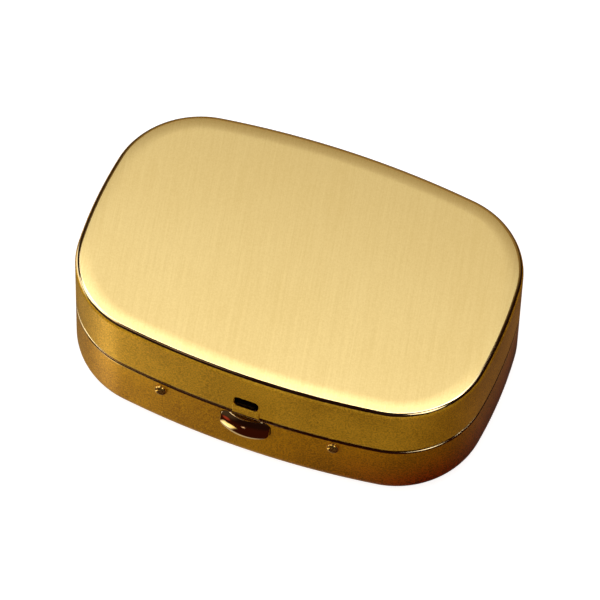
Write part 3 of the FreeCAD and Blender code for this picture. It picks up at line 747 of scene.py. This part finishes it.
def rivets():
    """Two round-headed rivets through the wall and the strip."""
    cap = RIVET_HEAD - RIVET_ROUND
    for label, x in (("left", -RIVET_X), ("right", RIVET_X)):
        face = SIDE_BOW_RADIUS - HALF_WIDTH - math.sqrt(SIDE_BOW_RADIUS ** 2 - x * x)
        front = face - RIVET_PROUD
        seat = face + RIVET_SEAT
        profile = [(POLE, front), (cap / 2, front)]
        profile += bent((cap, front + RIVET_ROUND), RIVET_ROUND, 0, 90, 12)
        profile += [(RIVET_HEAD, seat), (RIVET_SHANK, seat), (RIVET_SHANK, STRIP_BACK)]
        profile += tail_profile(RIVET_TAIL)
        piece = lathe("rivet_" + label, profile, x, RIVET_Z, RIVET)
        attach(piece, "base")
        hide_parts("catch_rivets")


def button_stem():
    """The stem that joins the button to the strip."""
    profile = [(STEM_RADIUS, BUTTON_BACK - 0.2), (STEM_RADIUS, STRIP_BACK)]
    profile += tail_profile(STEM_TAIL)
    piece = lathe("thumb_button_stem", profile, 0.0, STEM_Z, POLISHED)
    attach(piece, "catch")


STRIP_MIDDLE = SEAM_Z - 1.8
STRIP_HALF = 1.1
STRIP_HALF_LENGTH = 12.0
STRIP_CORNER = 0.8
STRIP_EASE = 0.04           # its long edges are broken by this much
STRIP_STEPS = 44


def catch_strip():
    """The flat spring strip in two halves that run from the button's stem out past the rivets."""
    ease = STRIP_EASE
    flat = STRIP_HALF_LENGTH - STRIP_CORNER
    stations = [flat * k / STRIP_STEPS for k in range(STRIP_STEPS + 1)]
    stations += [flat + STRIP_CORNER * math.sin(math.radians(9 * k)) for k in range(1, 10)]
    for label, side in (("left", -1), ("right", 1)):
        rings = []
        for x in stations:
            over = max(x - flat, 0.0)
            h = STRIP_HALF - STRIP_CORNER + math.sqrt(STRIP_CORNER ** 2 - over ** 2)
            section = [(STRIP_FRONT, -h + ease), (STRIP_FRONT, h - ease), (STRIP_FRONT + ease, h),
                       (STRIP_BACK - ease, h), (STRIP_BACK, h - ease), (STRIP_BACK, -h + ease),
                       (STRIP_BACK - ease, -h), (STRIP_FRONT + ease, -h)]
            rings.append([(side * x, y, STRIP_MIDDLE + z) for y, z in section])
        piece = prism_rings("catch_strip_" + label, rings, (STEEL,))
        sharpen(piece, PIECE_SHARP)
        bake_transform(piece)
        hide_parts("catch_spring")


HINGE_Y = 17.0
WIRE_RADIUS = 0.16
WIRE_SIDES = 12
COIL_RADIUS = 0.8
COIL_TURNS = 8.5
COIL_PITCH = 0.45
COIL_STEPS = 28             # for each turn
LEG_REACH = 3.4             # the legs end this far above and below the seam
LEG_Y = 15.44
LEG_BEND = 0.3


def wire(name, path, radius, material):
    """A round wire along a path of points."""
    path = [Vector(p) for p in path]
    side = Vector((1.0, 0.0, 0.0))
    angles = [2 * math.pi * j / WIRE_SIDES for j in range(WIRE_SIDES)]
    rings = []
    for k, point in enumerate(path):
        along = (path[min(k + 1, len(path) - 1)] - path[max(k - 1, 0)]).normalized()
        side = (side - along * side.dot(along)).normalized()
        other = along.cross(side)
        rings.append([tuple(point + (side * math.cos(a) + other * math.sin(a)) * radius)
                      for a in angles])
    return prism_rings(name, rings, (material,))


def spring_leg(x, side):
    """A leg's path at x, from its tip to the coil. side is 1 for the lid's and -1 for the base's."""
    z = SEAM_Z + side * COIL_RADIUS
    run = LEG_REACH - COIL_RADIUS - LEG_BEND
    points = [(x, LEG_Y, SEAM_Z + side * (LEG_REACH - run * k / 8)) for k in range(9)]
    for k in range(1, 9):
        a = math.radians(90 * k / 8)
        points.append((x, LEG_Y + LEG_BEND * (1 - math.cos(a)), z + side * LEG_BEND * (1 - math.sin(a))))
    bend_y = LEG_Y + LEG_BEND
    return points + [(x, bend_y + (HINGE_Y - bend_y) * k / 6, z) for k in range(1, 6)]


def lid_spring():
    """The torsion spring on the hinge pin. Its two legs lie on the hinge's leaves."""
    half = COIL_TURNS * COIL_PITCH / 2
    path = spring_leg(-half, -1)
    steps = int(COIL_TURNS * COIL_STEPS)
    for k in range(steps + 1):
        a = 2 * math.pi * COIL_TURNS * k / steps
        path.append((-half + 2 * half * k / steps, HINGE_Y + COIL_RADIUS * math.sin(a),
                     SEAM_Z - COIL_RADIUS * math.cos(a)))
    path += reversed(spring_leg(half, 1))
    piece = wire("lid_spring_wire", path, WIRE_RADIUS, STEEL)
    sharpen(piece, WIRE_SHARP)
    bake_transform(piece)
    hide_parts("lid_spring")


rivets()
button_stem()
catch_strip()
lid_spring()

# ---- Finishes on the parts that keep their CAD shape --------------------------------------
CARRIED = {
    "left_rim_collar": INSIDE, "right_rim_collar": INSIDE, "pill_tray": IVORY,
    "base_hinge_leaf": POLISHED, "lid_hinge_leaf": POLISHED, "hinge_pin": POLISHED,
    "lid_mirror": MIRROR, "mirror_pad": FOAM, "catch_plate": SLOT_SHADE_STEEL,
}
for name, finish in CARRIED.items():
    nodes[name].data.materials.clear()
    nodes[name].data.materials.append(finish)


WELD = 0.000002             # the tray's points closer than this, in metres, become one


def moulded_tray():
    """The divided tray: the CAD's shape and its finish, shaded so that flat faces look flat."""
    piece = bpy.data.objects.new("pill_tray_moulded", nodes["pill_tray"].data.copy())
    scene.collection.objects.link(piece)
    piece.matrix_world = nodes["pill_tray"].matrix_world
    fix = bmesh.new()
    fix.from_mesh(piece.data)
    bmesh.ops.remove_doubles(fix, verts=fix.verts, dist=WELD)
    fix.to_mesh(piece.data)
    fix.free()
    if "custom_normal" in piece.data.attributes:
        piece.data.attributes.remove(piece.data.attributes["custom_normal"])
    sharpen(piece, SHELL_SHARP)
    even = piece.modifiers.new("even", "WEIGHTED_NORMAL")
    even.keep_sharp = True
    even.weight = 100
    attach(piece, "base")
    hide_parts("pill_tray")


moulded_tray()

# ---- Stage --------------------------------------------------------------------------------
def direction(azimuth, elevation):
    """The unit vector at an azimuth from the front and an elevation, both in degrees."""
    a, e = math.radians(azimuth), math.radians(elevation)
    return Vector((math.sin(a) * math.cos(e), -math.cos(a) * math.cos(e), math.sin(e)))


FLOOR_HALF = 3.0
FLOOR_GREY = 0.5
FLOOR_GLOW = 0.8


def build_floor():
    """A pale floor that the metal doesn't reflect."""
    half = FLOOR_HALF
    corners = [(-half, -half, 0), (half, -half, 0), (half, half, 0), (-half, half, 0)]
    mesh = bpy.data.meshes.new("floor")
    mesh.from_pydata(corners, [], [(0, 1, 2, 3)])
    floor = bpy.data.objects.new("floor", mesh)
    scene.collection.objects.link(floor)
    material, n = new_material("pale_floor")
    diffuse = n.add("BsdfDiffuse", {"Color": rgb(FLOOR_GREY, FLOOR_GREY, FLOOR_GREY)})
    glow = n.add("Emission", {"Color": rgb(1.0, 1.0, 1.0), "Strength": FLOOR_GLOW})
    both = n.add("AddShader", {0: diffuse.outputs[0], 1: glow.outputs[0]})
    out = n.add("OutputMaterial")
    n.put(out.inputs["Surface"], both.outputs[0])
    mesh.materials.append(material)
    floor.visible_glossy = False
    floor.visible_diffuse = False


# Soft patches of the studio that the metal reflects: azimuth, elevation, full within and gone
# beyond these angles, colour, strength. An azimuth of 0 is the front and 90 is the right.
PATCHES = (
    # the button's left rim and upper left
    (-90.0, 2.0, 13.0, 26.0, (1.0, 1.0, 1.0), 1.3),
    (-58.0, 24.0, 8.0, 34.0, (1.0, 0.8, 0.6), 0.04),
    # the button's highlight and the glow at the left of the walls
    (-57.0, -51.0, 6.0, 13.0, (1.0, 0.94, 0.75), 1.3),
    (-43.0, -41.0, 6.0, 12.0, (1.0, 0.92, 0.6), 1.3),
    (-32.0, -32.0, 4.0, 9.0, (1.0, 0.85, 0.4), 1.3),
    (-108.0, -72.0, 11.0, 22.0, (1.0, 0.88, 0.6), 0.5),
    # the small glint and the red streak on the button
    (-9.0, -7.0, 1.5, 3.5, (1.0, 0.75, 0.65), 1.2),
    (-44.0, -3.0, 4.0, 10.0, (1.0, 0.12, 0.08), 0.28),
    # a low fill from the left
    (-120.0, -40.0, 10.0, 60.0, (1.0, 0.9, 0.5), 0.04),
    # the pale dash on the lid's edge at the right
    (60.0, 66.0, 8.0, 10.0, (1.0, 1.0, 1.0), 1.9),
    (64.0, 53.0, 8.0, 10.0, (1.0, 1.0, 1.0), 1.9),
    # the white streak on the lid's edge at the left corner
    (-84.0, 39.0, 9.0, 12.0, (1.0, 1.0, 0.95), 1.7),
    (-84.0, 52.0, 9.0, 12.0, (1.0, 1.0, 0.95), 1.7),
    (-87.0, 63.0, 7.5, 9.5, (1.0, 1.0, 0.95), 1.7),
    # faint lights inside the front edge's dark line
    (-70.0, 61.0, 3.0, 6.0, (1.0, 0.8, 0.7), 0.6),
    (-54.0, 62.0, 3.0, 6.0, (1.0, 0.8, 0.7), 0.55),
    (-38.0, 65.0, 2.0, 5.0, (1.0, 0.75, 0.65), 0.4),
    # behind: low down for the right-hand end wall, and high up for the top
    (155.0, -45.0, 15.0, 42.0, (1.0, 0.85, 0.6), 0.1),
    (190.0, 30.0, 10.0, 45.0, (1.0, 0.7, 0.25), 0.28),
)
# The dark room that the metal reflects, under and over the horizon.
DARK_BELOW = (0.03, 0.005, 0.002)
DARK_ABOVE = (0.012, 0.004, 0.003)
# The soft light that matt surfaces get: its azimuth and elevation, and its colour there and
# on the far side.
KEY_FROM = (-22.0, 35.0)
KEY_INNER = 8.0             # it is full within this angle
KEY_OUTER = 100.0           # and gone beyond this one
KEY_BRIGHT = (1.25, 1.2, 1.1)
KEY_DARK = (0.17, 0.012, 0.004)


def directional(n, way, azimuth, elevation, outer, inner):
    """1 within inner degrees of a direction, 0 beyond outer degrees."""
    facing = n.add("VectorMath", {0: way, 1: direction(azimuth, elevation)}, operation="DOT_PRODUCT")
    return n.add("MapRange", {"Value": facing.outputs["Value"],
                              "From Min": math.cos(math.radians(outer)),
                              "From Max": math.cos(math.radians(inner))},
                 interpolation_type="SMOOTHSTEP").outputs[0]


def build_studio():
    """White to the camera, a soft key to matt surfaces, a dark room with patches to the metal."""
    world = bpy.data.worlds.new("studio")
    world.use_nodes = True
    scene.world = world
    n = Nodes(world.node_tree)
    way = n.add("TexCoord").outputs["Generated"]
    height = n.add("SeparateXYZ", {0: way}).outputs[2]
    up = n.spread(height, 0.0, 1.0, -0.15, 0.2)
    total = n.mix(up, rgb(*DARK_BELOW), rgb(*DARK_ABOVE))
    for azimuth, elevation, inner, outer, colour, strength in PATCHES:
        amount = directional(n, way, azimuth, elevation, outer, inner)
        patch = n.mix(amount, rgb(0.0, 0.0, 0.0), rgb(*(c * strength for c in colour)))
        total = n.add("VectorMath", {0: total, 1: patch}, operation="ADD").outputs[0]
    toward = directional(n, way, *KEY_FROM, KEY_OUTER, KEY_INNER)
    soft = n.mix(toward, rgb(*KEY_DARK), rgb(*KEY_BRIGHT))
    path = n.add("LightPath")
    colour = n.mix(path.outputs["Is Diffuse Ray"], total, soft)
    colour = n.mix(path.outputs["Is Camera Ray"], colour, rgb(1.0, 1.0, 1.0))
    shade = n.add("Background", {"Color": colour, "Strength": 1.0})
    out = n.add("OutputWorld")
    n.put(out.inputs["Surface"], shade.outputs[0])


# Rectangular lights above the box that face down: name, centre, width, depth and brightness.
SOFTBOXES = (
    ("softbox_wide", (-0.05, 0.152, 0.46), 0.6, 0.174, 0.96),
    ("softbox_strip", (-0.04, 0.12, 0.458), 0.6, 0.11, 0.75),
    ("softbox_edge", (-0.04, 0.096, 0.456), 0.6, 0.046, 2.1),
)


def softbox(name, centre, width, depth, brightness):
    """A plain rectangular light, as bright in a mirror at any size."""
    light = bpy.data.lights.new(name, "AREA")
    light.shape = "RECTANGLE"
    light.size = width
    light.size_y = depth
    light.energy = brightness * 4 * width * depth
    obj = bpy.data.objects.new(name, light)
    obj.location = centre
    scene.collection.objects.link(obj)


def build_camera():
    """A long lens that looks down from the front right, turned and shifted to frame the box."""
    azimuth, elevation, roll = 19.23, 57.58, math.radians(2.03)
    distance, lens = 0.696, 358.72
    shift_right, shift_up = 0.000375, 0.004883
    back = direction(azimuth, elevation)
    right = (-back).cross(Vector((0, 0, 1))).normalized()
    up = right.cross(-back)
    rolled_right = right * math.cos(roll) + up * math.sin(roll)
    rolled_up = up * math.cos(roll) - right * math.sin(roll)
    camera = bpy.data.objects.new("camera", bpy.data.cameras.new("camera"))
    camera.data.sensor_width = 36.0
    camera.data.lens = lens
    camera.data.clip_start = 0.05
    place = back * distance + rolled_right * shift_right + rolled_up * shift_up
    turn = Matrix((rolled_right, rolled_up, back)).transposed().to_4x4()
    camera.matrix_world = Matrix.Translation(place) @ turn
    scene.collection.objects.link(camera)
    scene.camera = camera


build_floor()
build_studio()
for settings in SOFTBOXES:
    softbox(*settings)
build_camera()
scene.view_settings.view_transform = "Standard"
